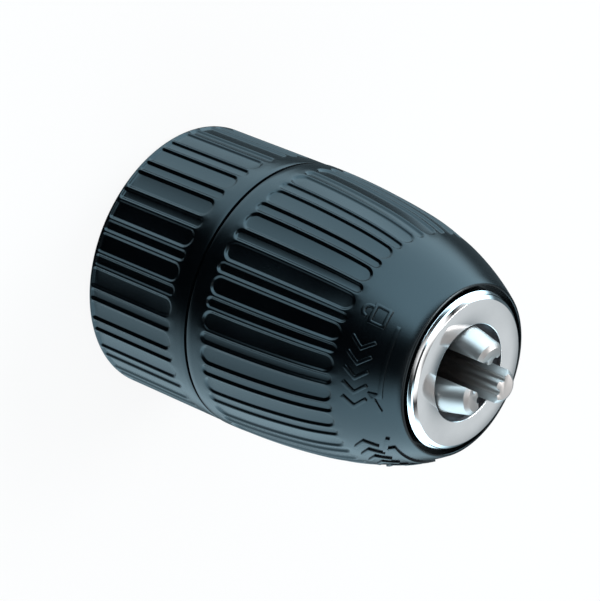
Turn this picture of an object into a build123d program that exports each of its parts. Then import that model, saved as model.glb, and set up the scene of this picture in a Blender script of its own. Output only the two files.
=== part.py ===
from build123d import *
import os
from math import asin, cos, radians, sin, sqrt, tan

# Two-sleeve keyless drill chuck for a 1/2-20 threaded spindle, with its jaws part open.
# Millimetres. +Z runs along the chuck from the spindle end to the nose, and the origin is the
# centre of the body's rear face. A front sleeve turns a split nut, and the nut's thread drives
# three jaws along inclined bores, so that they close on the axis as they come forward.

# --- driving dimensions -----------------------------------------------------------------------

running_gap = 0.05           # radial gap of a piece that slides or turns in a bore
side_gap = 0.3               # free space beside a piece that moves past another

# spindle end of the body
spindle_bore_radius = 5.75   # tapping bore of the 1/2-20 thread
spindle_bore_depth = 16.5
spindle_mouth_radius = 6.6   # countersink at the rear face
screw_hole_radius = 3.3      # clearance for the loose left-hand retaining screw
screw_web_thickness = 3.5    # steel between the spindle bore and the drill bore
drill_bore_radius = 6.7
tail_radius = 12.4
tail_chamfer = 0.6

# flange and hub of the body
flange_below_nose = 31.9
flange_thickness = 4.8
flange_radius = 18.4         # the bearing's races and cage end flush with it
flange_edge = 0.5
hub_gap = 0.4                # between the hub and the front race

# nose of the body
shoulder_radius = 13.2
journal_radius = 11.6        # the front sleeve turns on this
journal_length = 3.6
pilot_radius = 10.6          # the nose ring is pressed on this
nose_height = 58.3

# jaws
jaw_count = 3
first_jaw_azimuth = 210.0
jaw_radius = 2.7
jaw_angle = 15.5             # slope of each jaw bore to the chuck's axis
jaw_length = 35.0
crossing_beyond_nose = 17.44  # where the three jaw axes would meet, ahead of the body's nose
rest_opening = 5.0           # diameter of the circle that the jaws leave free
grip_edge_offset = 0.95      # from the jaw's axis to its gripping edge, at the tip
grip_edge_width = 0.5        # flat land along the gripping edge
grip_flute_radius = 0.5      # two flutes beside the gripping edge
grip_flute_spacing = 1.2     # from the gripping edge to each flute
tip_chamfer = 0.6
jaw_tail_chamfer = 0.4
tooth_pitch = 2.1            # travel of a jaw in one turn of the nut, along the jaw
tooth_depth = 0.7
tooth_land = 0.6             # width of the crest
tooth_flank = 0.45           # width of the sloping flank
first_tooth = 9.0            # from the jaw's tip

# thrust bearing
ball_radius = 1.0
ball_count = 9
race_thickness = 1.0
race_rim = 0.3               # from a ball to the races' outer edge
cage_rim = 0.35              # from a ball to the cage's inner edge
cage_thickness = 1.1
cage_ball_gap = 0.08

# nut and its band
nut_height = 8.5
nut_radius = 16.2
nut_split = 0.1
band_radius = 17.5
band_height = 7.9
drive_slot_count = 6
drive_slot_width = 2.6
drive_slot_depth = 2.0
drive_slot_gap = 0.1

# rear sleeve
rear_sleeve_step = 0.1       # the rear sleeve is this much smaller in radius than the front one
rear_sleeve_start = 0.5      # the body stands this far proud, to seat on the spindle's shoulder
rear_sleeve_length = 20.6
rear_wall = 1.5
rear_web_thickness = 2.5
rear_hub_wall = 1.8
rear_hub_length = 11.5
rear_rib_count = 9
rear_rib_thickness = 1.2
rear_rib_height = 6.0
rim_edge = 0.3               # chamfer at the rims of both sleeves

# front sleeve
front_sleeve_radius = 21.5
sleeve_seam = 0.3
front_sleeve_setback = 1.1   # behind the face of the nose ring
barrel_fall = 1.5            # how far the outline falls over its long flat arc
barrel_join_setback = 2.8    # from the nut's front face back to the end of that arc
sleeve_end_radius = 13.62    # where the rounder nose arc would end, without its chamfer
skirt_gap = 0.55             # between the flange and the sleeve's skirt
sleeve_cone_gap = 0.8        # between the body's cone and the sleeve, ahead of the nut
ring_gap = 0.75              # open groove between the nose ring and the sleeve
nose_edge = 0.2

# grip recesses of both sleeves: wide and narrow ones in turn
recess_count = 24
recess_depth = 0.5
wide_recess_angle = 7.8      # width, as an angle round the axis
narrow_recess_angle = 4.2
rear_recess_rim = 0.5        # plain rim behind the rear recesses, which end squarely there
rear_recess_margin = 3.2     # plain surface ahead of them
front_recess_margin = 3.3
front_recess_nose = 10.0     # plain surface from the front recesses to the sleeve's end
rear_recess_azimuth = 278.0
front_recess_azimuth = 276.0
recess_end_length = 0.85     # of the half width: how far from its end a recess starts to narrow
recess_end_flat = 0.45       # of the half width: the last flat of an end

# nose ring
ring_radius = 12.5
ring_face_thickness = 1.0
ring_bevel_width = 1.0
ring_bevel_height = 1.25
ring_hole_gap = 0.22         # clears the backs of the jaws
ring_hole_edge = 0.15

# --- heights and radii that follow ------------------------------------------------------------

jaw_slope = tan(radians(jaw_angle))
jaw_line_crossing = nose_height + crossing_beyond_nose


def jaw_axis_radius(height):
    """Distance of a jaw's axis from the chuck's axis."""
    return (jaw_line_crossing - height) * jaw_slope


def jaw_back_radius(height):
    """Distance of a jaw's outermost side from the chuck's axis."""
    return jaw_axis_radius(height) + jaw_radius / cos(radians(jaw_angle))


flange_height = nose_height - flange_below_nose
flange_top = flange_height + flange_thickness
rear_race_top = flange_top + race_thickness
ball_height = rear_race_top + ball_radius + running_gap
front_race_bottom = ball_height + ball_radius + running_gap
nut_bottom = front_race_bottom + race_thickness
nut_top = nut_bottom + nut_height
groove_bottom = nut_bottom - side_gap
groove_top = nut_top + side_gap
band_bottom = nut_top - band_height
shoulder_height = nose_height - ring_face_thickness - 1.3
journal_bottom = shoulder_height - journal_length
drill_bore_bottom = spindle_bore_depth + screw_web_thickness
ring_face_height = nose_height + ring_face_thickness
rear_sleeve_end = rear_sleeve_start + rear_sleeve_length
front_sleeve_start = rear_sleeve_end + sleeve_seam
front_sleeve_end = ring_face_height - front_sleeve_setback
barrel_arc_length = nut_top - barrel_join_setback - front_sleeve_start
barrel_arc_radius = (barrel_arc_length**2 + barrel_fall**2) / (2 * barrel_fall)
rear_recess_start = rear_sleeve_start + rear_recess_rim
rear_recess_end = rear_sleeve_end - rear_recess_margin
front_recess_start = front_sleeve_start + front_recess_margin
front_recess_end = front_sleeve_end - front_recess_nose
ball_pitch_radius = flange_radius - race_rim - ball_radius
cage_inner_radius = ball_pitch_radius - ball_radius - cage_rim
front_race_inner = jaw_back_radius(front_race_bottom) + side_gap
hub_radius = front_race_inner - hub_gap
nut_bore_bottom = jaw_back_radius(nut_bottom) + running_gap
nut_bore_top = jaw_back_radius(nut_top) + running_gap
groove_radius = nut_bore_top - side_gap
ring_hole_radius = jaw_back_radius(ring_face_height) + ring_hole_gap
rear_sleeve_radius = front_sleeve_radius - rear_sleeve_step
skirt_bore_radius = flange_radius + skirt_gap
sleeve_lip_radius = ring_radius + ring_gap
tip_axis_radius = rest_opening / 2 + grip_edge_offset
tip_height = jaw_line_crossing - tip_axis_radius / jaw_slope


def turned(outline):
    """A solid turned about the chuck's axis from a closed outline of (radius, height) points."""
    return revolve(Plane.XZ * make_face(Polyline(*outline, close=True)), Axis.Z)


def disc(radius, bottom, top):
    return Pos(0, 0, bottom) * extrude(Circle(radius), top - bottom)


def hollow_disc(outer, inner, bottom, top):
    return disc(outer, bottom, top) - disc(inner, bottom, top)


def around(shape, count, first=0.0):
    """Copies of a shape, evenly spaced round the chuck's axis."""
    return [Rot(0, 0, first + 360 * k / count) * shape for k in range(count)]


# --- body -------------------------------------------------------------------------------------

def jaw_bore():
    """The cutter of one jaw bore, through the whole body, at azimuth 0."""
    middle = jaw_line_crossing / 2
    plane = Plane(
        origin=(jaw_axis_radius(middle), 0, middle),
        z_dir=(-sin(radians(jaw_angle)), 0, cos(radians(jaw_angle))),
    )
    return plane * Cylinder(jaw_radius + running_gap, 2 * jaw_line_crossing)


def chuck_body():
    outline = [
        (0, 0), (tail_radius - tail_chamfer, 0), (tail_radius, tail_chamfer),
        (tail_radius, flange_height), (flange_radius - flange_edge, flange_height),
        (flange_radius, flange_height + flange_edge), (flange_radius, flange_top),
        (hub_radius, flange_top), (hub_radius, groove_bottom),
        (groove_radius, groove_bottom), (groove_radius, groove_top),
        (shoulder_radius, groove_top), (journal_radius, journal_bottom),
        (journal_radius, shoulder_height), (pilot_radius, shoulder_height),
        (pilot_radius, nose_height), (0, nose_height),
    ]
    body = turned(outline)
    mouth_depth = spindle_mouth_radius - spindle_bore_radius
    bores = turned([
        (0, 0), (spindle_mouth_radius, 0), (spindle_bore_radius, mouth_depth),
        (spindle_bore_radius, spindle_bore_depth), (screw_hole_radius, spindle_bore_depth),
        (screw_hole_radius, drill_bore_bottom), (drill_bore_radius, drill_bore_bottom),
        (drill_bore_radius, nose_height), (0, nose_height),
    ])
    body -= bores
    body -= around(jaw_bore(), jaw_count, first_jaw_azimuth)
    return body


def nose_ring():
    """Cap pressed on the body's nose. Its hole widens inwards, along the sloping jaws."""
    hole_back = ring_hole_radius + ring_face_thickness * jaw_slope
    return turned([
        (ring_hole_radius + ring_hole_edge, ring_face_height),
        (ring_radius - ring_bevel_width, ring_face_height),
        (ring_radius, ring_face_height - ring_bevel_height),
        (ring_radius, shoulder_height), (pilot_radius, shoulder_height),
        (pilot_radius, nose_height), (hole_back, nose_height),
        (ring_hole_radius, ring_face_height - ring_hole_edge),
    ])


# --- jaws -------------------------------------------------------------------------------------

def jaw(number):
    """One jaw at its own azimuth. Its teeth are sections of one thread, so from jaw to jaw they
    stand a third of a pitch further along."""
    angle = radians(jaw_angle)
    axis_plane = Plane(origin=(tip_axis_radius, 0, tip_height), z_dir=(-sin(angle), 0, cos(angle)))
    rod = Pos(0, 0, -jaw_length / 2) * Cylinder(jaw_radius, jaw_length)
    rod = chamfer(rod.edges().filter_by(GeomType.CIRCLE).sort_by(Axis.Z)[-1], tip_chamfer)
    rod = chamfer(rod.edges().filter_by(GeomType.CIRCLE).sort_by(Axis.Z)[0], jaw_tail_chamfer)
    blank = axis_plane * rod

    # the two gripping faces meet at 120 degrees along an edge parallel to the chuck's axis
    edge = rest_opening / 2
    land = grip_edge_width / 2
    reach = 4 * jaw_radius
    side = (cos(radians(60)), sin(radians(60)))
    land_edge = edge + land * side[0] / side[1]
    wedge = make_face(Polyline(
        (land_edge, land), (edge + reach * side[0], reach * side[1]), (edge + reach * 4, reach * side[1]),
        (edge + reach * 4, -reach * side[1]), (edge + reach * side[0], -reach * side[1]),
        (land_edge, -land), close=True))
    flute_x = edge + grip_flute_spacing * side[0]
    flute_y = grip_flute_spacing * side[1]
    flutes = Pos(flute_x, flute_y) * Circle(grip_flute_radius)
    flutes += Pos(flute_x, -flute_y) * Circle(grip_flute_radius)
    blank &= extrude(wedge - flutes, 2 * tip_height)

    # teeth: slots straight across the jaw's back, steep towards the tip and sloping behind
    step = tooth_pitch * cos(angle)
    start = tip_height - first_tooth * cos(angle) - step * number / jaw_count
    tooth_zone = (jaw_length - first_tooth) * cos(angle)
    for k in range(int(tooth_zone / step)):
        top = start - k * step
        bottom = top - (tooth_pitch - tooth_land) * cos(angle)
        flank = bottom + tooth_flank * cos(angle)
        slot = make_face(Polyline(
            (jaw_back_radius(top) - tooth_depth, top), (jaw_back_radius(top) + jaw_radius, top),
            (jaw_back_radius(bottom) + jaw_radius, bottom), (jaw_back_radius(bottom), bottom),
            (jaw_back_radius(flank) - tooth_depth, flank), close=True))
        blank -= extrude(Plane.XZ * slot, jaw_radius, both=True)
    return Rot(0, 0, first_jaw_azimuth + 360 * number / jaw_count) * blank


# --- thrust bearing ---------------------------------------------------------------------------

def rear_race():
    inner = jaw_back_radius(flange_top) + side_gap
    return hollow_disc(flange_radius, inner, flange_top, rear_race_top)


def front_race():
    return hollow_disc(flange_radius, front_race_inner, front_race_bottom, nut_bottom)


def ball_cage():
    bottom = ball_height - cage_thickness / 2
    cage = hollow_disc(flange_radius, cage_inner_radius, bottom, bottom + cage_thickness)
    hole = Pos(ball_pitch_radius, 0, ball_height) * Cylinder(ball_radius + cage_ball_gap, 2 * cage_thickness)
    return cage - around(hole, ball_count)


def bearing_ball(number):
    ball = Pos(ball_pitch_radius, 0, ball_height) * Sphere(ball_radius)
    return Rot(0, 0, 360 * number / ball_count) * ball


# --- nut --------------------------------------------------------------------------------------

def nut_half(side):
    """Half of the nut. Its cone runs along the backs of the jaws."""
    ring = turned([
        (nut_bore_bottom, nut_bottom), (nut_radius, nut_bottom),
        (nut_radius, nut_top), (nut_bore_top, nut_top),
    ])
    reach = 2 * nut_radius
    middle = nut_bottom + nut_height / 2
    half = Pos(side * (reach + nut_split) / 2, 0, middle) * Box(reach, 2 * reach, 2 * nut_height)
    return ring & half


def nut_band():
    band = hollow_disc(band_radius, nut_radius, band_bottom, nut_top)
    slot = Pos((nut_radius + band_radius) / 2, 0, nut_top) * Box(
        2 * (band_radius - nut_radius), drive_slot_width, 2 * drive_slot_depth)
    return band - around(slot, drive_slot_count)


# --- sleeves ----------------------------------------------------------------------------------

def recess_outline(low, bottom, high, top):
    """A slot along Y, with its own half width at the bottom and at the top. Each end is rounded
    off in three flats."""
    rise, drop = recess_end_length * low, recess_end_length * high
    return make_face(Polyline(
        (low, bottom + rise), (high, top - drop), (recess_end_flat * high, top),
        (-recess_end_flat * high, top), (-high, top - drop), (-low, bottom + rise),
        (-recess_end_flat * low, bottom), (recess_end_flat * low, bottom), close=True))


def recesses(side_section, first_azimuth, bottom_radius, bottom, top_radius, top):
    """Cutters of the wide and narrow grip recesses, in turn round a sleeve. Each narrows with
    the sleeve, so that it keeps the same angle round the axis. side_section is what a recess
    takes out of the sleeve's side, seen along the sleeve's edge: its inner line is the floor."""
    side_plane = Plane(origin=(0, 0, 0), x_dir=(0, 1, 0), z_dir=(1, 0, 0))
    cutters = []
    for index, angle in enumerate((wide_recess_angle, narrow_recess_angle)):
        low = bottom_radius * tan(radians(angle / 2))
        high = top_radius * tan(radians(angle / 2))
        prism = extrude(side_plane * recess_outline(low, bottom, high, top), 2 * bottom_radius)
        cutter = prism & extrude(side_section, 2 * low, both=True)
        cutters += around(cutter, recess_count, first_azimuth + index * 180 / recess_count)
    return cutters


def rear_sleeve():
    inner = rear_sleeve_radius - rear_wall
    hub = tail_radius + rear_hub_wall
    web_top = rear_sleeve_start + rear_web_thickness
    hub_top = rear_sleeve_start + rear_hub_length
    sleeve = turned([
        (tail_radius, rear_sleeve_start), (rear_sleeve_radius - rim_edge, rear_sleeve_start),
        (rear_sleeve_radius, rear_sleeve_start + rim_edge),
        (rear_sleeve_radius, rear_sleeve_end - rim_edge),
        (rear_sleeve_radius - rim_edge, rear_sleeve_end), (inner, rear_sleeve_end),
        (inner, web_top), (hub, web_top), (hub, hub_top), (tail_radius, hub_top),
    ])
    rib = Pos((hub + inner) / 2, 0, web_top + rear_rib_height / 2) * Box(
        inner - hub + rear_wall, rear_rib_thickness, rear_rib_height)
    sleeve += around(rib, rear_rib_count, first_jaw_azimuth)
    floor = rear_sleeve_radius - recess_depth
    section = Plane.XZ * Pos(floor, rear_recess_start) * Rectangle(
        2 * rear_wall, rear_recess_end, align=Align.MIN)
    return sleeve - recesses(
        section, rear_recess_azimuth,
        rear_sleeve_radius, -rear_recess_end, rear_sleeve_radius, rear_recess_end)


# the front sleeve's outline is two tangent arcs: where they join, its outward normal leans by
# this angle towards the nose
join = asin(barrel_arc_length / barrel_arc_radius)


def nose_arc():
    """Radius of the nose arc: tangent to the long one, and through the sleeve's front end."""
    join_radius = front_sleeve_radius - barrel_arc_radius * (1 - cos(join))
    inward = sleeve_end_radius - join_radius
    forward = front_sleeve_end - front_sleeve_start - barrel_arc_length
    return -(inward**2 + forward**2) / (2 * (inward * cos(join) + forward * sin(join)))


nose_arc_radius = nose_arc()


def barrel_point(lean, depth):
    """Point of the front sleeve's outline, or of a line at a depth under it, where its outward
    normal leans by an angle (radians) towards the nose."""
    centre_radius = front_sleeve_radius - barrel_arc_radius
    centre_height = front_sleeve_start
    arc = barrel_arc_radius
    if lean > join:
        centre_radius += (barrel_arc_radius - nose_arc_radius) * cos(join)
        centre_height += (barrel_arc_radius - nose_arc_radius) * sin(join)
        arc = nose_arc_radius
    return (centre_radius + (arc - depth) * cos(lean), centre_height + (arc - depth) * sin(lean))


def nose_lean(height):
    """Lean of the outline at a height in its nose arc."""
    centre_height = front_sleeve_start + (barrel_arc_radius - nose_arc_radius) * sin(join)
    return asin((height - centre_height) / nose_arc_radius)


def barrel_lines(depth, end_height):
    """The outline's two arcs, at a depth under the surface, from the rear edge to a height."""
    end = nose_lean(end_height)
    long_line = ThreePointArc(*(barrel_point(lean, depth) for lean in (0, join / 2, join)))
    nose_line = ThreePointArc(
        *(barrel_point(lean, depth) for lean in (join + 1e-9, (join + end) / 2, end)))
    return long_line, nose_line


def barrel_radius(height):
    """Outer radius of the front sleeve at a height."""
    rise = height - front_sleeve_start
    if rise < barrel_arc_length:
        return front_sleeve_radius - barrel_arc_radius + sqrt(barrel_arc_radius**2 - rise**2)
    return barrel_point(nose_lean(height), 0)[0]


def front_sleeve():
    start, end = front_sleeve_start, front_sleeve_end
    edge_start = end - nose_edge
    long_line, nose_line = barrel_lines(0, edge_start)
    lip_bottom = shoulder_height - side_gap
    cone_radius = shoulder_radius + sleeve_cone_gap
    inside = Polyline(
        nose_line @ 1, (barrel_radius(edge_start) - 2 * nose_edge, end),
        (sleeve_lip_radius, end), (sleeve_lip_radius, lip_bottom),
        (journal_radius + running_gap, lip_bottom), (journal_radius + running_gap, journal_bottom),
        (journal_radius + sleeve_cone_gap, journal_bottom), (cone_radius, nut_top),
        (band_radius, nut_top), (band_radius, nut_bottom), (skirt_bore_radius, nut_bottom),
        (skirt_bore_radius, start), long_line @ 0)
    sleeve = revolve(Plane.XZ * make_face(long_line + nose_line + inside), Axis.Z)
    sleeve = chamfer(sleeve.edges().filter_by(GeomType.CIRCLE).group_by(Axis.Z)[0][-1], rim_edge)
    dog_inner = nut_radius + running_gap
    dog_outer = band_radius + drive_slot_gap
    dog_height = drive_slot_depth - drive_slot_gap
    dog = Pos((dog_inner + dog_outer) / 2, 0, nut_top - dog_height / 2) * Box(
        dog_outer - dog_inner, drive_slot_width - 2 * drive_slot_gap, dog_height)
    sleeve += around(dog, drive_slot_count)
    under_long, under_nose = barrel_lines(recess_depth, edge_start)
    outside = Polyline(under_nose @ 1, (2 * front_sleeve_radius, edge_start),
                       (2 * front_sleeve_radius, start), under_long @ 0)
    section = Plane.XZ * make_face(under_long + under_nose + outside)
    return sleeve - recesses(
        section, front_recess_azimuth, barrel_radius(front_recess_start), front_recess_start,
        barrel_radius(front_recess_end), front_recess_end)


# --- build ------------------------------------------------------------------------------------

nodes = {
    "chuck_body": chuck_body(),
    "nose_ring": nose_ring(),
    "rear_sleeve": rear_sleeve(),
    "front_sleeve": front_sleeve(),
    "rear_race": rear_race(),
    "front_race": front_race(),
    "ball_cage": ball_cage(),
    "nut_half_left": nut_half(-1),
    "nut_half_right": nut_half(1),
    "nut_band": nut_band(),
}
for number in range(jaw_count):
    nodes[f"jaw_{number + 1}"] = jaw(number)
for number in range(ball_count):
    nodes[f"bearing_ball_{number + 1:02d}"] = bearing_ball(number)

os.makedirs("parts", exist_ok=True)
for name, solid in nodes.items():
    export_step(solid, f"parts/{name}.step")
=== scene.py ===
# %% [markdown]
# # A keyless drill chuck with two grip sleeves
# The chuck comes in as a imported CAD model, which is a fixed frame: its pieces have their real size
# and place, and each one already rides on the body that carries it. This lesson makes the visible
# pieces again with softer edges and finer forms, and gives every piece its finish. It can be read
# from top to bottom, as cells of a notebook.

# %% Load the frame
import math

import bmesh
import bpy
from mathutils import Matrix, Vector


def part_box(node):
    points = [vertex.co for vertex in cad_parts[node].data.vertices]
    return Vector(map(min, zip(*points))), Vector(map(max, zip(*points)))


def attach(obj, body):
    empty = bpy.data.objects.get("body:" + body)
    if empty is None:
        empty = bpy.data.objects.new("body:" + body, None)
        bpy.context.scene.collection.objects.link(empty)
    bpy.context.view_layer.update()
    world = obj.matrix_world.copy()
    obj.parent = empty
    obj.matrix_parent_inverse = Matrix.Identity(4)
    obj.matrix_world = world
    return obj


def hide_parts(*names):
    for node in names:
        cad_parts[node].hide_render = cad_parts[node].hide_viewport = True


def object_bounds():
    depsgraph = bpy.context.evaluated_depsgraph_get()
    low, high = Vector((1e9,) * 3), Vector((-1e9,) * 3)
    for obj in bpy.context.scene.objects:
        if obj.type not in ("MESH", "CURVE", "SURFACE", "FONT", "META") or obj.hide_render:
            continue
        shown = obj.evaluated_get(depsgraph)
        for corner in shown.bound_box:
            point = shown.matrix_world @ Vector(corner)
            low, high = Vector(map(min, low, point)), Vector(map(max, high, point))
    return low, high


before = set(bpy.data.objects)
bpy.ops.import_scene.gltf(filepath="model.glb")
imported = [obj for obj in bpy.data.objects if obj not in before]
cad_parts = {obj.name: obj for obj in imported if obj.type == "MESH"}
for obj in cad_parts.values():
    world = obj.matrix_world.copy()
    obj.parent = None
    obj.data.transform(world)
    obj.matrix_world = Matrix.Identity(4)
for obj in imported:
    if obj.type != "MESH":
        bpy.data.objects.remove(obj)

cad_low, cad_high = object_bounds()
bpy.ops.object.select_all(action="DESELECT")
print("CAD box in mm:", [round(1000 * side, 2) for side in cad_high - cad_low])

# %% [markdown]
# ## Working in millimetres
# The frame is in metres, but a drill chuck has edges of a tenth of a millimetre, and Blender's
# modelling operators merge and cut best on shapes of ordinary size. So each piece is modelled with
# one Blender unit as a millimetre, and its finished mesh is shrunk to metres at the end. The object
# itself stays at the origin, unturned and unscaled.

# %% Sizes of the chuck's nodes, in millimetres
MM = 0.001
first_jaw_azimuth = 210.0                # degrees from +X; the others follow at a third of a turn


def cad_size(node):
    """Outer radius, lowest and highest point of a CAD node that is round about the chuck's axis."""
    low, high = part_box(node)
    return high.x / MM, low.z / MM, high.z / MM


rear_radius, rear_start, rear_end = cad_size("rear_sleeve")
front_radius, front_start, front_end = cad_size("front_sleeve")
ring_radius, ring_back, ring_face = cad_size("nose_ring")
body_front = cad_size("chuck_body")[2]
print("front sleeve:", front_radius, front_start, front_end)


def finish_piece(piece, body, slot, *replaced):
    """Shrinks a piece to metres and ties it to the frame: the body that it rides on, and the CAD nodes
    that it stands for, which are hidden. The slot is not used."""
    piece.data.transform(Matrix.Scale(MM, 4))
    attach(piece, body)
    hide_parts(*replaced)
    piece.select_set(False)
    print(piece.name, "has", len(piece.data.polygons), "faces")


# %% [markdown]
# ## Picking by place
# An operator acts on what is selected. By hand that is a click; in a script it is a test of each
# vertex, edge or face by its place, after everything else is deselected.

# %% Selection helpers
def middle(part):
    """Centre of a vertex, an edge or a face."""
    if isinstance(part, bmesh.types.BMVert):
        return part.co
    points = [vertex.co for vertex in part.verts]
    return sum(points, Vector()) / len(points)


def pick(kind, test):
    """Selects the vertices, edges or faces that pass a test, and nothing else."""
    bpy.ops.mesh.select_mode(type=kind)
    bpy.ops.mesh.select_all(action="DESELECT")
    form = bmesh.from_edit_mesh(bpy.context.edit_object.data)
    parts = {"VERT": form.verts, "EDGE": form.edges, "FACE": form.faces}[kind]
    for part in parts:
        if test(part):
            part.select_set(True)
    bmesh.update_edit_mesh(bpy.context.edit_object.data)


def picked():
    """Places of the selected vertices."""
    form = bmesh.from_edit_mesh(bpy.context.edit_object.data)
    return [vertex.co.copy() for vertex in form.verts if vertex.select]


def start_piece(name, add, **settings):
    """Adds a primitive as a new object and opens it in edit mode."""
    if bpy.context.mode != "OBJECT":
        bpy.ops.object.mode_set(mode="OBJECT")
    bpy.ops.object.select_all(action="DESELECT")
    add(**settings)
    piece = bpy.context.object
    piece.name = name
    piece.data.name = name
    bpy.ops.object.transform_apply(location=True, rotation=True, scale=True)
    bpy.ops.object.mode_set(mode="EDIT")
    return piece


def apply_modifier(piece, kind, **settings):
    """Adds a modifier with its settings and applies it."""
    modifier = piece.modifiers.new(kind.lower(), kind)
    for name, value in settings.items():
        setattr(modifier, name, value)
    bpy.context.view_layer.objects.active = piece
    bpy.ops.object.modifier_apply(modifier=modifier.name)


# %% [markdown]
# ## The camera
# The chuck stands on its spindle end, and it is seen from above one side, with the camera rolled so
# that the nose points to the right and a little down. A long lens keeps the sleeves' sides almost
# parallel. The camera's place is worked out from the point it looks at, its height as an angle, its
# distance and its roll.

# %% Camera
camera_elevation = math.radians(37.72)
camera_roll = math.radians(112.48)
camera_distance = 0.5466
camera_target = Vector((-0.00036, 0.0, 0.0249))
camera_lens = 212.35

camera_data = bpy.data.cameras.new("camera")
camera_data.lens = camera_lens
camera_data.sensor_width = 36.0
camera_data.clip_start = 0.05
camera_data.clip_end = 20.0
camera = bpy.data.objects.new("camera", camera_data)
bpy.context.scene.collection.objects.link(camera)
bpy.context.scene.camera = camera
tilt = Matrix.Rotation(math.pi / 2 - camera_elevation, 4, "X") @ Matrix.Rotation(camera_roll, 4, "Z")
camera.matrix_world = Matrix.Translation(camera_target) @ tilt @ Matrix.Translation((0, 0, camera_distance))
print("camera stands at", [round(value, 4) for value in camera.matrix_world.translation])

# %% [markdown]
# ## Shader maths as Python
# Materials are networks of nodes. To keep them readable, a small class wraps an output socket, so
# that `0.3 + 0.1 * noise` adds the Math nodes it needs. Every other node comes from one method,
# which takes the node's type, its settings and the values or links of its sockets.

# %% The socket class
class Wire:
    """An output socket of a node tree, or with no socket the tree itself."""

    def __init__(self, tree, socket=None):
        self.tree = tree
        self.socket = socket

    def node(self, kind, settings=None, inputs=None, out=0):
        """Adds a node, and gives its output as a Wire, or the node itself where out is None."""
        made = self.tree.nodes.new(kind)
        for name, value in (settings or {}).items():
            setattr(made, name, value)
        for name, value in (inputs or {}).items():
            if isinstance(value, Wire):
                self.tree.links.new(value.socket, made.inputs[name])
            else:
                made.inputs[name].default_value = value
        return made if out is None else Wire(self.tree, made.outputs[out])

    def maths(self, operation, *values):
        return self.node("ShaderNodeMath", {"operation": operation}, dict(enumerate(values)))

    def blend(self, share, first, second):
        """A colour between two others."""
        colours = {0: share, 6: (*first, 1), 7: (*second, 1)}
        return self.node("ShaderNodeMix", {"data_type": "RGBA"}, colours, out=2)

    def step(self, low, high):
        """0 below low, 1 above high and smooth between."""
        return self.node("ShaderNodeMapRange", {"interpolation_type": "SMOOTHSTEP"},
                         {"Value": self, "From Min": low, "From Max": high})

    def __add__(self, other):
        return self.maths("ADD", self, other)

    def __sub__(self, other):
        return self.maths("SUBTRACT", self, other)

    def __rsub__(self, other):
        return self.maths("SUBTRACT", other, self)

    def __mul__(self, other):
        return self.maths("MULTIPLY", self, other)

    def __truediv__(self, other):
        return self.maths("DIVIDE", self, other)

    __radd__ = __add__
    __rmul__ = __mul__


def new_finish(name, **constants):
    """A material with a Principled shader. Gives the material, its shader and a Wire to build on.
    The constants are set on the shader's own sockets."""
    material = bpy.data.materials.new(name)
    material.use_nodes = True
    shader = material.node_tree.nodes["Principled BSDF"]
    for socket, value in constants.items():
        shader.inputs[socket.replace("_", " ")].default_value = value
    return material, shader, Wire(material.node_tree)


def dress(piece, material):
    """Gives a piece one material in place of what it came with."""
    piece.data.materials.clear()
    piece.data.materials.append(material)


# %% [markdown]
# ## Light and ground
# Glossy black plastic shows almost nothing of its own: what is seen is the room. Here the world is
# the room. It has a tall soft box on each side, darkness behind the camera with a panel high above,
# a dim far side and a ceiling over that side, all as smooth steps of the direction that a ray
# leaves in. Rays straight from the camera see plain white.

# %% World
left_box_azimuth = 193                   # degrees round the chuck, from +X
left_box_fade = (50, 18)                 # dark and full, in degrees from the azimuth
left_box_tilt = 0.3                      # how much wider a box gets upwards
right_box_azimuth = 12
right_box_fade = (58, 5)
right_box_tilt = 0.15
far_side_azimuth = 95
left_box_strength = 2.9
right_box_strength = 2.3
box_gradient = 0.7                       # how much brighter the boxes get upwards
far_side_strength = 0.15
ceiling_strength = 0.62
front_panel_strength = 1.5               # high above the camera
box_tint = (0.62, 0.87, 1.0)

world = bpy.data.worlds.new("studio")
world.use_nodes = True
world.node_tree.nodes.clear()
bpy.context.scene.world = world
room = Wire(world.node_tree)
direction = room.node("ShaderNodeTexCoord", out=0)
axes = room.node("ShaderNodeSeparateXYZ", {}, {"Vector": direction}, out=None)
x, y, z = (Wire(world.node_tree, axes.outputs[name]) for name in "XYZ")
level = (x * x + y * y + 0.0001).maths("SQRT", x * x + y * y + 0.0001)


def facing(azimuth):
    """How nearly a direction points to an azimuth, seen from above."""
    return (x * math.cos(math.radians(azimuth)) + y * math.sin(math.radians(azimuth))) / level


def box(azimuth, tilt, fade):
    """A tall soft box: 1 in its middle, and 0 from a certain angle to the side."""
    dark, full = (math.cos(math.radians(angle)) for angle in fade)
    return (facing(azimuth) + (z + 0.6) * tilt).step(dark, full)


left_box = box(left_box_azimuth, left_box_tilt, left_box_fade)
right_box = box(right_box_azimuth, right_box_tilt, right_box_fade)
far_side = facing(far_side_azimuth).step(0.0, 0.8)
ceiling = z.step(0.42, 0.6)
front_panel = z.step(0.68, 0.74) * (1 - z.step(0.86, 0.92)) * (0 - y).step(0.05, 0.3)
boxes = (left_box * left_box_strength + right_box * right_box_strength) * (1.25 + z * box_gradient)
walls = boxes * (1 - ceiling) + far_side * far_side_strength
overhead = ceiling * (y + 0.1).step(0.0, 0.3) * ceiling_strength + front_panel * front_panel_strength
tinted = room.node("ShaderNodeBackground", {}, {"Color": (*box_tint, 1.0), "Strength": walls})
neutral = room.node("ShaderNodeBackground", {}, {"Color": (1, 1, 1, 1), "Strength": overhead})
lit = room.node("ShaderNodeAddShader", {}, {0: tinted, 1: neutral})
plain = room.node("ShaderNodeBackground", {}, {"Color": (1, 1, 1, 1), "Strength": 1.0})
seen = room.node("ShaderNodeLightPath", out=0)
mixed = room.node("ShaderNodeMixShader", {}, {0: seen, 1: lit, 2: plain})
room.node("ShaderNodeOutputWorld", {}, {"Surface": mixed}, out=None)

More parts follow.
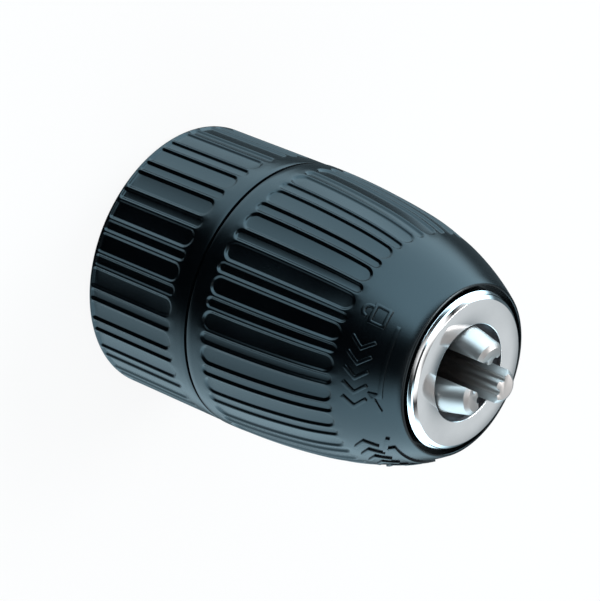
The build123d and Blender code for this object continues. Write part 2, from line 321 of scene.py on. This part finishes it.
# %% Floor
bpy.ops.mesh.primitive_plane_add(size=6.0, location=(0, 0, cad_low.z))
floor = bpy.context.object
floor.name = "floor"
floor.visible_glossy = False
paint = bpy.data.materials.new("pale_floor")
paint.use_nodes = True
paint.node_tree.nodes.clear()
ground = Wire(paint.node_tree)
matt = ground.node("ShaderNodeBsdfDiffuse", {}, {"Color": (0.8, 0.8, 0.8, 1)})
glow = ground.node("ShaderNodeEmission", {}, {"Color": (1, 1, 1, 1), "Strength": 1.0})
white_share = ground.node("ShaderNodeLightPath", out=0) * 0.9
both = ground.node("ShaderNodeMixShader", {}, {0: white_share, 1: matt, 2: glow})
ground.node("ShaderNodeOutputMaterial", {}, {"Surface": both}, out=None)
dress(floor, paint)
floor.select_set(False)

# %% Lamp
key_data = bpy.data.lights.new("key", "AREA")
key_data.shape = "DISK"
key_data.size = 0.35
key_data.energy = 2.5
key = bpy.data.objects.new("key", key_data)
bpy.context.scene.collection.objects.link(key)
key.location = (-0.35, 0.25, 0.75)
key.rotation_mode = "QUATERNION"
key.rotation_quaternion = (camera_target - key.location).to_track_quat("-Z", "Y")
bpy.context.scene.view_settings.view_transform = "Standard"

# %% [markdown]
# ## Finishes
# The sleeves are black glass-filled nylon with a gloss that is a little cold, and with a fine
# moulded grain that breaks up reflections. Colour, roughness and a slight bump all come from noise
# on Object coordinates, which here are metres, so a scale of 4000 gives a grain of a quarter of a
# millimetre.

# %% Plastic
def sleeve_plastic(name, dark, light, roughness):
    material, shader, build = new_finish(name, IOR=1.5)
    place = build.node("ShaderNodeTexCoord", out=3)
    cloud = build.node("ShaderNodeTexNoise", {}, {"Vector": place, "Scale": 120.0, "Detail": 3.0})
    grain = build.node("ShaderNodeTexNoise", {}, {"Vector": place, "Scale": 4000.0, "Detail": 2.0})
    colour = build.blend(cloud, dark, light)
    bump = build.node("ShaderNodeBump", {}, {"Height": grain, "Strength": 0.12, "Distance": 0.00003})
    links = material.node_tree.links
    links.new(colour.socket, shader.inputs["Base Color"])
    links.new((cloud * 0.1 + grain * 0.06 + roughness).socket, shader.inputs["Roughness"])
    links.new(bump.socket, shader.inputs["Normal"])
    shader.inputs["Specular Tint"].default_value = (0.75, 0.92, 1.0, 1.0)
    return material


black_plastic = sleeve_plastic("black_plastic", (0.0004, 0.0006, 0.001), (0.0009, 0.0013, 0.002), 0.16)

# %% [markdown]
# Metal is told by how it scatters light. The nose ring is plated and polished, the jaws are ground,
# and the body inside is turned steel with fine rings round its axis. The faces inside the nose ring's
# hole and the body's front bore get a near-black steel, which is painted shade for the dark hole.

# %% Metals
def metal(name, colour, roughness, spread, grain_scale, bump_strength):
    """Steel whose roughness and surface vary with a grain of the given scale."""
    material, shader, build = new_finish(name, Metallic=1.0)
    place = build.node("ShaderNodeTexCoord", out=3)
    grain = build.node("ShaderNodeTexNoise", {}, {"Vector": place, "Scale": grain_scale, "Detail": 4.0})
    cloud = build.node("ShaderNodeTexNoise", {}, {"Vector": place, "Scale": 300.0, "Detail": 2.0})
    worn = tuple(0.86 * value for value in colour)
    shade = build.blend(cloud, worn, colour)
    bump = build.node("ShaderNodeBump", {}, {"Height": grain, "Strength": bump_strength, "Distance": 0.00001})
    links = material.node_tree.links
    links.new(shade.socket, shader.inputs["Base Color"])
    links.new((cloud * spread + grain * spread + roughness).socket, shader.inputs["Roughness"])
    links.new(bump.socket, shader.inputs["Normal"])
    return material


nickel = metal("polished_nickel", (0.86, 0.87, 0.88), 0.05, 0.06, 2500.0, 0.05)
jaw_steel = metal("ground_jaw_steel", (0.58, 0.54, 0.52), 0.36, 0.08, 6000.0, 0.15)
body_steel = metal("turned_steel", (0.26, 0.26, 0.27), 0.28, 0.12, 3000.0, 0.2)
cage_nylon, cage_shader, cage_build = new_finish("cage_nylon", Roughness=0.45, Subsurface_Weight=0.1)
cage_place = cage_build.node("ShaderNodeTexCoord", out=3)
cage_cloud = cage_build.node("ShaderNodeTexNoise", {}, {"Vector": cage_place, "Scale": 250.0, "Detail": 3.0})
cage_colour = cage_build.blend(cage_cloud, (0.62, 0.58, 0.48), (0.74, 0.71, 0.62))
cage_nylon.node_tree.links.new(cage_colour.socket, cage_shader.inputs["Base Color"])
# near-black steel: painted shade inside the nose ring's hole and the body's front bore
painted_bore_shade = metal("bore_painted_shade", (0.05, 0.05, 0.055), 0.35, 0.1, 3000.0, 0.2)
bearing_steel = metal("bearing_steel", (0.62, 0.63, 0.64), 0.12, 0.05, 5000.0, 0.05)

# %% [markdown]
# ## One stretch of a sleeve, laid flat
# Both sleeves repeat every 15 degrees: a wide grip recess, a thin land, a narrow recess and a land.
# On a round barrel such slots are awkward to model, so one repeat is made flat, as a strip of the
# unrolled surface: X is the way round, Y the height and Z points out. Each slot starts as a
# rectangle whose corners are rounded. A rectangle is filled in round the two slots, and each slot's
# floor is then sunk by insets, which round its lip and its foot.

# %% Sizes of the grip recesses
repeats = 24
wide_angle = 7.8
narrow_angle = 4.2
lip = 0.27                               # how far the rounded lip reaches outside the recess
corner_steps = 12
side_cuts = 22
# the wall of a recess, as (inset, drop) steps from the edge of the lip to the floor
wall_steps = [(0.06, 0.01), (0.08, 0.04), (0.10, 0.075), (0.10, 0.09), (0.10, 0.075), (0.08, 0.04),
              (0.08, 0.01)]
slack = 0.001


def slot_loop(centre, width, bottom, top, corner):
    """Adds the outline of a slot, with a half circle at its top and rounded corners below."""
    bpy.ops.mesh.primitive_plane_add(size=1, location=(centre, (bottom + top) / 2, 0))
    bpy.ops.transform.resize(value=(width, top - bottom, 1))
    bpy.ops.mesh.delete(type="ONLY_FACE")
    for height, rounding in ((top, width / 2), (bottom, corner)):
        pick("VERT", lambda vertex: abs(vertex.co.y - height) < slack
             and abs(abs(vertex.co.x - centre) - width / 2) < slack)
        bpy.ops.mesh.bevel(affect="VERTICES", offset=rounding - slack, segments=corner_steps)
    pick("EDGE", lambda edge: abs(middle(edge).x - centre) < width / 2 + slack
         and edge.calc_length() > 0.5 * (top - bottom))
    bpy.ops.mesh.subdivide(number_cuts=side_cuts)
    pick("VERT", lambda vertex: abs(vertex.co.x - centre) < width / 2 + slack
         and bottom - slack < vertex.co.y < top + slack)
    bpy.ops.mesh.remove_doubles(threshold=4 * slack)


def sink_slot(centre, width, bottom, top, corner):
    """Closes a slot with a face and sinks it in steps to the floor of the recess."""
    pick("VERT", lambda vertex: abs(vertex.co.x - centre) < width / 2 + slack
         and bottom - slack < vertex.co.y < top + slack)
    bpy.ops.mesh.edge_face_add()
    pick("FACE", lambda face: len(face.verts) > 4)
    for inset, drop in wall_steps:
        bpy.ops.mesh.inset(thickness=inset, depth=-drop)
    bpy.ops.mesh.quads_convert_to_tris(ngon_method="BEAUTY")


def flat_repeat(name, radius, low, high, slot_bottom, slot_top, corner=None):
    """One 15 degree repeat of a sleeve as a flat strip, with both slots sunk. With no corner given,
    the slots end in half circles below as above."""
    per_degree = radius * math.radians(1)
    pitch = per_degree * 360 / repeats
    left = -(wide_angle + (360 / repeats - wide_angle - narrow_angle) / 2) * per_degree / 2
    slots = []
    for centre, angle in ((0.0, wide_angle), (pitch / 2, narrow_angle)):
        width = angle * per_degree + 2 * lip
        slots.append((centre, width, slot_bottom - lip, slot_top + lip, corner or width / 2))
    strip = start_piece(name, bpy.ops.mesh.primitive_plane_add, size=1.0, location=(0, 0, 0))
    bpy.ops.transform.resize(value=(pitch, high - low, 1))
    bpy.ops.transform.translate(value=(left + pitch / 2, (low + high) / 2, 0))
    bpy.ops.mesh.delete(type="ONLY_FACE")
    pick("EDGE", lambda edge: abs(edge.verts[0].co.x - edge.verts[1].co.x) < slack)
    bpy.ops.mesh.subdivide(number_cuts=side_cuts + 2)
    pick("EDGE", lambda edge: abs(edge.verts[0].co.x - edge.verts[1].co.x) > 0.5 * pitch)
    bpy.ops.mesh.subdivide(number_cuts=11)
    for slot in slots:
        slot_loop(*slot)
    bpy.ops.mesh.select_all(action="SELECT")
    bpy.ops.mesh.fill(use_beauty=True)
    if bmesh.from_edit_mesh(strip.data).faces[:1][0].normal.z < 0:
        bpy.ops.mesh.flip_normals()
    for slot in slots:
        sink_slot(*slot)
    return strip, pitch


def extend_strip(at, to, rows):
    """Carries one end of the strip on to a height, in rows of faces."""
    pick("EDGE", lambda edge: all(abs(vertex.co.y - at) < slack for vertex in edge.verts))
    for _ in range(rows):
        bpy.ops.mesh.extrude_region_move(TRANSFORM_OT_translate={"value": (0, (to - at) / rows, 0)})


def wrap(piece, per_radian, azimuth, outline):
    """Bends a flat mesh round the chuck's axis: X becomes an angle, Y stays the height, and Z
    stands on the surface. The outline gives, for a height, the surface's radius and the lean of its
    normal towards the nose."""
    for vertex in piece.data.vertices:
        angle = math.radians(azimuth) + vertex.co.x / per_radian
        radius, lean = outline(vertex.co.y)
        reach = radius + vertex.co.z * math.cos(lean)
        rise = vertex.co.z * math.sin(lean)
        vertex.co = (reach * math.cos(angle), reach * math.sin(angle), vertex.co.y + rise)


def roll_up(strip, pitch, azimuth, outline):
    """Repeats the strip side by side, wraps it into a barrel and joins the repeats."""
    bpy.ops.object.mode_set(mode="OBJECT")
    apply_modifier(strip, "ARRAY", count=repeats, use_relative_offset=False, use_constant_offset=True,
                   constant_offset_displace=(pitch, 0, 0), use_merge_vertices=True, merge_threshold=slack)
    wrap(strip, pitch * repeats / math.tau, azimuth, outline)
    bpy.ops.object.mode_set(mode="EDIT")
    bpy.ops.mesh.select_all(action="SELECT")
    bpy.ops.mesh.remove_doubles(threshold=slack)


# %% [markdown]
# ## Turning on a lathe
# The inside of a sleeve is turned, and so are the body and the nose ring. A ring of edges is
# selected, and each step extrudes it and takes the new ring to the next radius and height, as a
# lathe tool would follow the profile. At the end the last ring is bridged to the other open rim,
# which closes the wall.

# %% Lathe steps
round_vertices = 144
fillet_steps = 4


def pick_rim(height):
    """Selects the open edge of the shell at a height."""
    pick("EDGE", lambda edge: edge.is_boundary and all(abs(v.co.z - height) < 0.02 for v in edge.verts))


def turn(profile):
    """Extrudes the selected ring through (radius, height) points."""
    for radius, height in profile:
        bpy.ops.mesh.extrude_region_move()
        now = picked()[0]
        grow = radius / now.xy.length
        bpy.ops.transform.resize(value=(grow, grow, 1), center_override=(0, 0, now.z))
        bpy.ops.transform.translate(value=(0, 0, height - now.z))


def close_shell(piece, smooth_angle=30):
    """Bridges the two open rims that are left, points all faces outwards and smooths the shading."""
    pick("EDGE", lambda edge: edge.is_boundary)
    bpy.ops.mesh.bridge_edge_loops()
    bpy.ops.mesh.select_all(action="SELECT")
    bpy.ops.mesh.normals_make_consistent(inside=False)
    bpy.ops.object.mode_set(mode="OBJECT")
    bpy.ops.object.shade_smooth_by_angle(angle=math.radians(smooth_angle))


def turned_piece(name, profile, smooth_angle=30):
    """A closed ring turned from (radius, height) points."""
    radius, height = profile[0]
    piece = start_piece(name, bpy.ops.mesh.primitive_circle_add, vertices=round_vertices, radius=radius,
                        location=(0, 0, height))
    turn(profile[1:])
    close_shell(piece, smooth_angle)
    return piece


def rounded(profile):
    """Each corner of a closed (radius, height) outline with a fillet in its place. A corner is
    (radius, height, fillet), and one with no fillet stays sharp."""
    smooth = []
    for index, corner in enumerate(profile):
        point = Vector(corner[:2])
        if len(corner) == 2:
            smooth.append(point)
            continue
        before = (Vector(profile[index - 1][:2]) - point).normalized()
        after = (Vector(profile[(index + 1) % len(profile)][:2]) - point).normalized()
        half = before.angle(after) / 2
        centre = point + (before + after).normalized() * corner[2] / math.sin(half)
        start = point + before * corner[2] / math.tan(half) - centre
        end = point + after * corner[2] / math.tan(half) - centre
        for step in range(fillet_steps + 1):
            spoke = start.lerp(end, step / fillet_steps).normalized() * corner[2]
            smooth.append(centre + spoke)
    return [tuple(point) for point in smooth]


# %% [markdown]
# ## Cutting and joining
# What can't be turned is cut away from the piece, or joined on, by a Boolean modifier.

# %% Boolean steps
def cut(piece, cutter, operation="DIFFERENCE"):
    """Takes the cutter away from the piece, or joins it on, and drops the cutter."""
    if bpy.context.mode != "OBJECT":
        bpy.ops.object.mode_set(mode="OBJECT")
    bpy.ops.object.select_all(action="DESELECT")
    apply_modifier(piece, "BOOLEAN", operation=operation, object=cutter, solver="EXACT")
    bpy.data.objects.remove(cutter)


def spokes(count, azimuth, inner, outer, width, low, high):
    """Equal boxes that stand round the chuck's axis, as one mesh."""
    piece = start_piece("spokes", bpy.ops.mesh.primitive_plane_add, size=1.0)
    bpy.ops.mesh.delete(type="VERT")
    for number in range(count):
        angle = math.radians(azimuth + 360 * number / count)
        centre = (inner + outer) / 2 * Vector((math.cos(angle), math.sin(angle)))
        bpy.ops.mesh.primitive_cube_add(size=1.0, location=(*centre, (low + high) / 2),
                                        rotation=(0, 0, angle), scale=(outer - inner, width, high - low))
    return piece


# %% [markdown]
# ## Front sleeve
# Its outline is a long flat arc that runs into a rounder one towards the nose. The two are tangent
# where they join, so the rounder one's radius follows from the sleeve's front end.

# %% Front sleeve
front_azimuth = 276.0                    # middle of the first wide recess
barrel_fall = 1.5
barrel_length = 19.6
end_radius = 13.62
seam_step = 0.32                         # a rebate that widens the dark seam between the sleeves
seam_step_depth = 0.45
edge_rounding = 0.1
nose_edge = 0.2
skirt_bore = 18.95
nut_radius = 16.2
nut_band_radius = 17.5
nut_low = 35.3
nut_high = 43.8
journal_low = 52.4
journal_radius = 11.65
lip_radius = 13.25
lip_floor = 55.7
dog_count = 6                            # the sleeve's dogs drive the nut's band
dog_gap = 0.05
dog_width = 2.4
dog_height = 1.9
overlap = 0.1                            # how far a joined piece reaches into the other one

barrel_arc = (barrel_length ** 2 + barrel_fall ** 2) / (2 * barrel_fall)
join_lean = math.asin(barrel_length / barrel_arc)
inward = end_radius - (front_radius - barrel_fall)
forward = front_end - front_start - barrel_length
towards_end = inward * math.cos(join_lean) + forward * math.sin(join_lean)
nose_arc = -(inward ** 2 + forward ** 2) / (2 * towards_end)
print("long arc", round(barrel_arc, 1), "nose arc", round(nose_arc, 1))


def barrel_outline(height):
    """Radius and lean of the front sleeve's surface at a height."""
    rise = height - front_start
    if rise <= barrel_length:
        lean = math.asin(rise / barrel_arc)
        return front_radius - barrel_arc * (1 - math.cos(lean)), lean
    centre_height = barrel_length - nose_arc * math.sin(join_lean)
    centre_radius = front_radius - barrel_fall - nose_arc * math.cos(join_lean)
    lean = math.asin((rise - centre_height) / nose_arc)
    return centre_radius + nose_arc * math.cos(lean), lean


strip_low, strip_high = 23.6, 49.4
front_sleeve, pitch = flat_repeat("front_sleeve_shell", front_radius, strip_low, strip_high, 24.7, 48.2)
extend_strip(strip_high, front_end - nose_edge, 9)
extend_strip(strip_low, front_start + seam_step + edge_rounding, 2)
roll_up(front_sleeve, pitch, front_azimuth, barrel_outline)
pick_rim(front_end - nose_edge)
mouth = barrel_outline(front_end - nose_edge)[0]
turn([(mouth - 0.12, front_end - 0.09), (mouth - 0.28, front_end - 0.02), (mouth - 0.36, front_end),
      (lip_radius + 0.06, front_end), (lip_radius, front_end - 0.06), (lip_radius, lip_floor),
      (journal_radius, lip_floor), (journal_radius, journal_low), (journal_radius + 0.75, journal_low),
      (14.0, nut_high), (nut_band_radius, nut_high), (nut_band_radius, nut_low), (skirt_bore, nut_low),
      (skirt_bore, front_start)])
step_height = front_start + seam_step
pick_rim(step_height + edge_rounding)
turn([(front_radius - 0.03, step_height + 0.03), (front_radius - edge_rounding, step_height),
      (front_radius - seam_step_depth, step_height), (front_radius - seam_step_depth, front_start)])
close_shell(front_sleeve)
dogs = spokes(dog_count, 0, nut_radius + dog_gap, nut_band_radius + overlap, dog_width,
              nut_high - dog_height, nut_high + overlap)
cut(front_sleeve, dogs, "UNION")
dress(front_sleeve, black_plastic)
finish_piece(front_sleeve, "front_sleeve", "sleeve_plastic", "front_sleeve")

# %% [markdown]
# ## Direction marks
# Raised marks near the nose show which way the sleeve turns: an arrow, a row of chevrons and a
# padlock, open for one way and closed for the other. Each mark is a line drawn by extruding a
# vertex. The lines are pulled up into fences, the fences get their thickness, and the flat drawing
# is wrapped on the sleeve, a little sunk into it.

# %% Direction marks
mark_width = 0.6
mark_height = 0.3
mark_sink = 0.1
mark_step = 0.5
mark_rounding = 0.18
mark_row = 51.7                          # middle of the row, and how far it reaches to each side
mark_reach = 1.75
arrow_row = 55.35
arrow_length = 13.5
barb_length = 2.7
barb_width = 1.25
chevron_count = 5
chevron_length = 1.5
chevron_pitch = 2.3
chevron_start = 0.6                      # from the arrow's tip to the first chevron
padlock_start = 15.2
padlock_half = 1.35
shackle_radius = 0.85
shackle_height = 0.62
shackle_gap = 0.1
mark_radian = barrel_outline(mark_row)[0]
arrow_radian = barrel_outline(arrow_row)[0]


def line(points):
    """Draws one line through points by extruding a vertex in short steps."""
    bpy.ops.mesh.select_mode(type="VERT")
    bpy.ops.mesh.select_all(action="DESELECT")
    bpy.ops.mesh.primitive_plane_add(size=0.1, location=(*points[0], -mark_sink))
    bpy.ops.mesh.merge(type="CENTER")
    for before, after in zip(points, points[1:]):
        way = Vector(after) - Vector(before)
        steps = math.ceil(way.length / mark_step)
        for _ in range(steps):
            bpy.ops.mesh.extrude_region_move(TRANSFORM_OT_translate={"value": (*(way / steps), 0)})


def padlock(centre, opened):
    """A padlock seen from the front, with its shackle towards the rear of the chuck. An open one's
    shackle has only one leg in the case."""
    left, right = centre - padlock_half, centre + padlock_half
    foot, top = mark_row + mark_reach, mark_row - 0.35
    line([(left, foot), (right, foot), (right, top), (left, top), (left, foot)])
    angles = [math.radians(angle) for angle in range(0, 181, 20)]
    bow_centre = top - shackle_height
    bow = [(centre + shackle_radius * math.cos(angle), bow_centre - shackle_radius * math.sin(angle))
           for angle in angles]
    left_leg = (centre - shackle_radius, top - shackle_gap)
    right_leg = (centre + shackle_radius, top - shackle_gap)
    line([*bow, left_leg] if opened else [right_leg, *bow, left_leg])


def arrow(way):
    """An arrow whose tip is at 0, with a barb on its rear side only."""
    line([(way * -arrow_length, arrow_row), (way * -2.6, arrow_row),
          (way * -barb_length, arrow_row - barb_width), (0, arrow_row)])


def chevrons(way):
    """A row of chevrons from the arrow's tip to the padlock."""
    for number in range(chevron_count):
        tip = way * (-chevron_pitch * number - chevron_start)
        tail = tip - way * chevron_length
        line([(tail, mark_row - mark_reach), (tip, mark_row), (tail, mark_row + mark_reach)])


def marks(name, azimuth, way, rows):
    """One row of the marks for one way of turning, with its front end at an azimuth."""
    piece = start_piece(name, bpy.ops.mesh.primitive_plane_add, size=1.0)
    bpy.ops.mesh.delete(type="VERT")
    if rows == "arrow":
        arrow(way)
    else:
        padlock(way * -padlock_start, opened=way > 0)
        chevrons(way)
    bpy.ops.mesh.select_all(action="SELECT")
    bpy.ops.mesh.remove_doubles(threshold=slack)
    bpy.ops.mesh.extrude_region_move(TRANSFORM_OT_translate={"value": (0, 0, mark_sink + mark_height)})
    bpy.ops.mesh.select_all(action="SELECT")
    bpy.ops.mesh.normals_make_consistent(inside=False)
    bpy.ops.object.mode_set(mode="OBJECT")
    apply_modifier(piece, "SOLIDIFY", thickness=mark_width, offset=0, use_even_offset=True)
    apply_modifier(piece, "BEVEL", width=mark_rounding, segments=3, limit_method="ANGLE",
                   angle_limit=math.radians(40))
    wrap(piece, arrow_radian if rows == "arrow" else mark_radian, azimuth, barrel_outline)
    bpy.ops.object.shade_smooth_by_angle(angle=math.radians(35))
    return piece


for turning, azimuth, way in (("opening", 312, 1), ("closing", 332, -1)):
    for rows in ("arrow", "row"):
        piece = marks(f"{turning}_{rows}", azimuth, way, rows)
        dress(piece, black_plastic)
        finish_piece(piece, "front_sleeve", "sleeve_plastic")

# %% [markdown]
# ## Rear sleeve
# The rear sleeve is straight. Its recesses run down to a thin rim at the rear, and end squarely
# there, so their lower corners get only a small rounding.

# %% Rear sleeve
rear_azimuth = 278.0                     # middle of the first wide recess
hub_bore = 12.4
hub_radius = 14.2
hub_top = 12.0
web_top = 3.0
rear_wall_bore = 19.9
rear_chamfer = 0.22
rib_count = 9
rib_thickness = 1.2
rib_height = 6.0
strip_low, strip_high = 0.74, 19.2
rear_sleeve, pitch = flat_repeat("rear_sleeve_shell", rear_radius, strip_low, strip_high, 1.06, 17.9,
                                 corner=0.65)
extend_strip(strip_high, rear_end - edge_rounding, 2)
roll_up(rear_sleeve, pitch, rear_azimuth, lambda height: (rear_radius, 0.0))
pick_rim(rear_end - edge_rounding)
turn([(rear_radius - 0.03, rear_end - 0.03), (rear_radius - edge_rounding, rear_end),
      (rear_wall_bore, rear_end), (rear_wall_bore, web_top), (hub_radius, web_top), (hub_radius, hub_top),
      (hub_bore, hub_top), (hub_bore, rear_start + 0.1), (hub_bore + 0.1, rear_start), (18.5, rear_start)])
pick_rim(strip_low)
turn([(rear_radius - 0.02, rear_start + 0.12), (rear_radius - 0.1, rear_start + 0.02),
      (rear_radius - rear_chamfer, rear_start)])
close_shell(rear_sleeve)
ribs = spokes(rib_count, first_jaw_azimuth, hub_radius - 0.5, rear_wall_bore + 0.7, rib_thickness,
              web_top - overlap, web_top + rib_height)
cut(rear_sleeve, ribs, "UNION")
dress(rear_sleeve, black_plastic)
finish_piece(rear_sleeve, "body", "sleeve_plastic", "rear_sleeve")

# %% [markdown]
# ## Nose ring
# A polished ring is mostly edge: the bevel is white where it faces the light, and the small fillets
# between it and the face draw the fine lines. So its outline gets a fillet at each corner before it
# is turned.

# %% Nose ring
pilot_radius = 10.6
ring_hole = 7.58
ring_profile = rounded([
    (ring_hole, ring_face, 0.15), (11.5, ring_face, 0.12), (12.0, ring_face - 0.45, 0.05),
    (12.12, ring_face - 0.68, 0.05), (ring_radius, ring_face - 1.1, 0.12), (ring_radius, ring_back),
    (pilot_radius, ring_back), (pilot_radius, body_front), (ring_hole + 0.28, body_front)])
nose_ring = turned_piece("nose_ring_polished", ring_profile, smooth_angle=40)
dress(nose_ring, nickel)
# the faces of the ring's hole get the near-black steel, painted shade in the hole
nose_ring.data.materials.append(painted_bore_shade)
for face in nose_ring.data.polygons:
    face.material_index = int(face.center.xy.length < ring_hole + 0.05)
finish_piece(nose_ring, "body", "bright_plating", "nose_ring")

# %% [markdown]
# ## Jaws
# Each jaw is a ground rod that lies at an angle, with its tip towards the axis. Two planes cut its
# gripping faces at 120 degrees, two flutes run beside the gripping edge, and teeth across its back
# mesh with the nut. The rod is shaped upright, with its tip at the origin, then laid in its place,
# where the planes of the gripping faces stand upright instead.

# %% Jaw sizes and cutters
jaw_radius = 2.7
jaw_angle = math.radians(15.5)
jaw_length = 35.0
jaw_crossing = body_front + 17.44        # where the three jaw axes would meet
tip_radius = 3.45                        # from the chuck's axis to a jaw's axis, at its tip
tip_chamfer = 0.6
grip_edge = 2.5                          # from the chuck's axis to the gripping edge
grip_land = 0.5
flute_radius = 0.5
flute_spacing = 1.2
tooth_pitch = 2.1
tooth_depth = 0.7
tooth_land = 0.6
first_tooth = 9.0
tooth_count = 12

jaw_place = Matrix.Translation((tip_radius, 0, jaw_crossing - tip_radius / math.tan(jaw_angle)))
jaw_place = jaw_place @ Matrix.Rotation(-jaw_angle, 4, "Y")


def tooth_cutter(shift):
    """A row of boxes across the back of an upright jaw, each with a sloping lower flank."""
    height = tooth_pitch - tooth_land
    top = -first_tooth - shift
    cutter = start_piece("teeth", bpy.ops.mesh.primitive_cube_add, size=1.0, location=(0, 0, 0))
    bpy.ops.transform.resize(value=(2 * tooth_depth, 3 * jaw_radius, height))
    bpy.ops.transform.translate(value=(jaw_radius, 0, top - height / 2))
    pick("VERT", lambda vertex: vertex.co.z < top - height / 2 and vertex.co.x < jaw_radius)
    bpy.ops.transform.translate(value=(0, 0, 0.45))
    bpy.ops.object.mode_set(mode="OBJECT")
    apply_modifier(cutter, "ARRAY", count=tooth_count, use_relative_offset=False, use_constant_offset=True,
                   constant_offset_displace=(0, 0, -tooth_pitch))
    return cutter


def jaw(number):
    """One jaw. Its teeth are sections of one thread, so they stand a third of a pitch on."""
    piece = start_piece(f"jaw_{number + 1}_ground", bpy.ops.mesh.primitive_cylinder_add, vertices=96,
                        radius=jaw_radius, depth=jaw_length, location=(0, 0, -jaw_length / 2))
    pick("EDGE", lambda edge: all(vertex.co.z > -slack for vertex in edge.verts))
    bpy.ops.mesh.bevel(offset=tip_chamfer, segments=1)
    pick("EDGE", lambda edge: all(vertex.co.z < -jaw_length + slack for vertex in edge.verts))
    bpy.ops.mesh.bevel(offset=0.4, segments=1)
    cut(piece, tooth_cutter(tooth_pitch * number / 3))
    piece.data.transform(jaw_place)
    bpy.context.view_layer.objects.active = piece
    bpy.ops.object.mode_set(mode="EDIT")
    lean, side = math.cos(math.radians(30)), math.sin(math.radians(30))
    inset = grip_land / 2 * side / lean
    for place, outwards in (((grip_edge, 0, 0), (-lean, side, 0)), ((grip_edge, 0, 0), (-lean, -side, 0)),
                            ((grip_edge + inset, 0, 0), (-1, 0, 0))):
        bpy.ops.mesh.select_all(action="SELECT")
        bpy.ops.mesh.bisect(plane_co=place, plane_no=outwards, use_fill=True, clear_outer=True,
                            threshold=0.0001)
    bpy.ops.object.mode_set(mode="OBJECT")
    for flute_side in (-1, 1):
        place = (grip_edge + flute_spacing * side, flute_side * flute_spacing * lean, 40)
        flute = start_piece("flute", bpy.ops.mesh.primitive_cylinder_add, vertices=32, radius=flute_radius,
                            depth=3 * jaw_length, location=place)
        cut(piece, flute)
    apply_modifier(piece, "BEVEL", width=0.06, segments=2, limit_method="ANGLE", angle_limit=math.radians(28))
    piece.data.transform(Matrix.Rotation(math.radians(first_jaw_azimuth + 120 * number), 4, "Z"))
    bpy.ops.object.select_all(action="DESELECT")
    piece.select_set(True)
    bpy.ops.object.shade_smooth_by_angle(angle=math.radians(25))
    return piece


# %% Jaws
for number in range(3):
    piece = jaw(number)
    dress(piece, jaw_steel)
    finish_piece(piece, f"jaw_{number + 1}", "jaw_steel", f"jaw_{number + 1}")

# %% [markdown]
# ## Body
# The body is turned from steel and drilled for the three jaws. In its rear end is the thread for
# the spindle. A small V, swept round and up by a Screw modifier, makes the cutter of that thread.

# %% Body
spindle_bore = 5.75
spindle_major = 6.35
spindle_pitch = 1.27
thread_turns = 12
body_profile = rounded([
    (6.6, 0, 0.1), (11.8, 0, 0.12), (12.4, 0.6, 0.12), (12.4, 26.4), (17.9, 26.4), (18.4, 26.9), (18.4, 31.2),
    (14.19, 31.2), (14.19, 35.0), (11.41, 35.0), (11.41, 44.1), (13.2, 44.1), (11.6, 52.4), (11.6, 56.0),
    (10.6, 56.0), (10.6, body_front), (6.7, body_front), (6.7, 20.0), (3.3, 20.0), (3.3, 16.5),
    (spindle_bore, 16.5), (spindle_bore, 0.85)])
body = turned_piece("chuck_body_turned", body_profile)

groove = start_piece("groove", bpy.ops.mesh.primitive_plane_add, size=1.0, rotation=(math.pi / 2, 0, 0))
bpy.ops.transform.resize(value=(0.85, 1, 1.0))
bpy.ops.transform.translate(value=(spindle_major - 0.425, 0, -1.5))
pick("VERT", lambda vertex: vertex.co.x > spindle_major - slack)
bpy.ops.transform.resize(value=(1, 1, 0.16))
bpy.ops.mesh.select_all(action="SELECT")
bpy.ops.mesh.delete(type="ONLY_FACE")
bpy.ops.object.mode_set(mode="OBJECT")
apply_modifier(groove, "SCREW", angle=math.tau, screw_offset=spindle_pitch, iterations=thread_turns, steps=48,
               render_steps=48, use_normal_calculate=True)
bpy.ops.object.mode_set(mode="EDIT")
bpy.ops.mesh.select_all(action="SELECT")
bpy.ops.mesh.remove_doubles(threshold=slack)
bpy.ops.mesh.fill_holes(sides=4)
bpy.ops.mesh.select_all(action="SELECT")
bpy.ops.mesh.normals_make_consistent(inside=False)
cut(body, groove)
for number in range(3):
    bore = start_piece("bore", bpy.ops.mesh.primitive_cylinder_add, vertices=64, radius=jaw_radius + 0.05,
                       depth=160, location=(0, 0, 0))
    bpy.ops.object.mode_set(mode="OBJECT")
    bore.data.transform(Matrix.Rotation(math.radians(first_jaw_azimuth + 120 * number), 4, "Z") @ jaw_place)
    cut(body, bore)
body.select_set(True)
bpy.ops.object.shade_smooth_by_angle(angle=math.radians(30))
dress(body, body_steel)
# the faces inside the front bore get the near-black steel, painted shade in the bore
body.data.materials.append(painted_bore_shade)
for face in body.data.polygons:
    face.material_index = int(face.center.xy.length < pilot_radius - 0.2 and face.center.z > hub_top)
finish_piece(body, "body", "body_steel", "chuck_body")

# %% Finishes of the CAD nodes that stay
kept_finish = {"nut_half_left": body_steel, "nut_half_right": body_steel, "nut_band": body_steel,
               "ball_cage": cage_nylon}
for name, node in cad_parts.items():
    dress(node, kept_finish.get(name, bearing_steel))
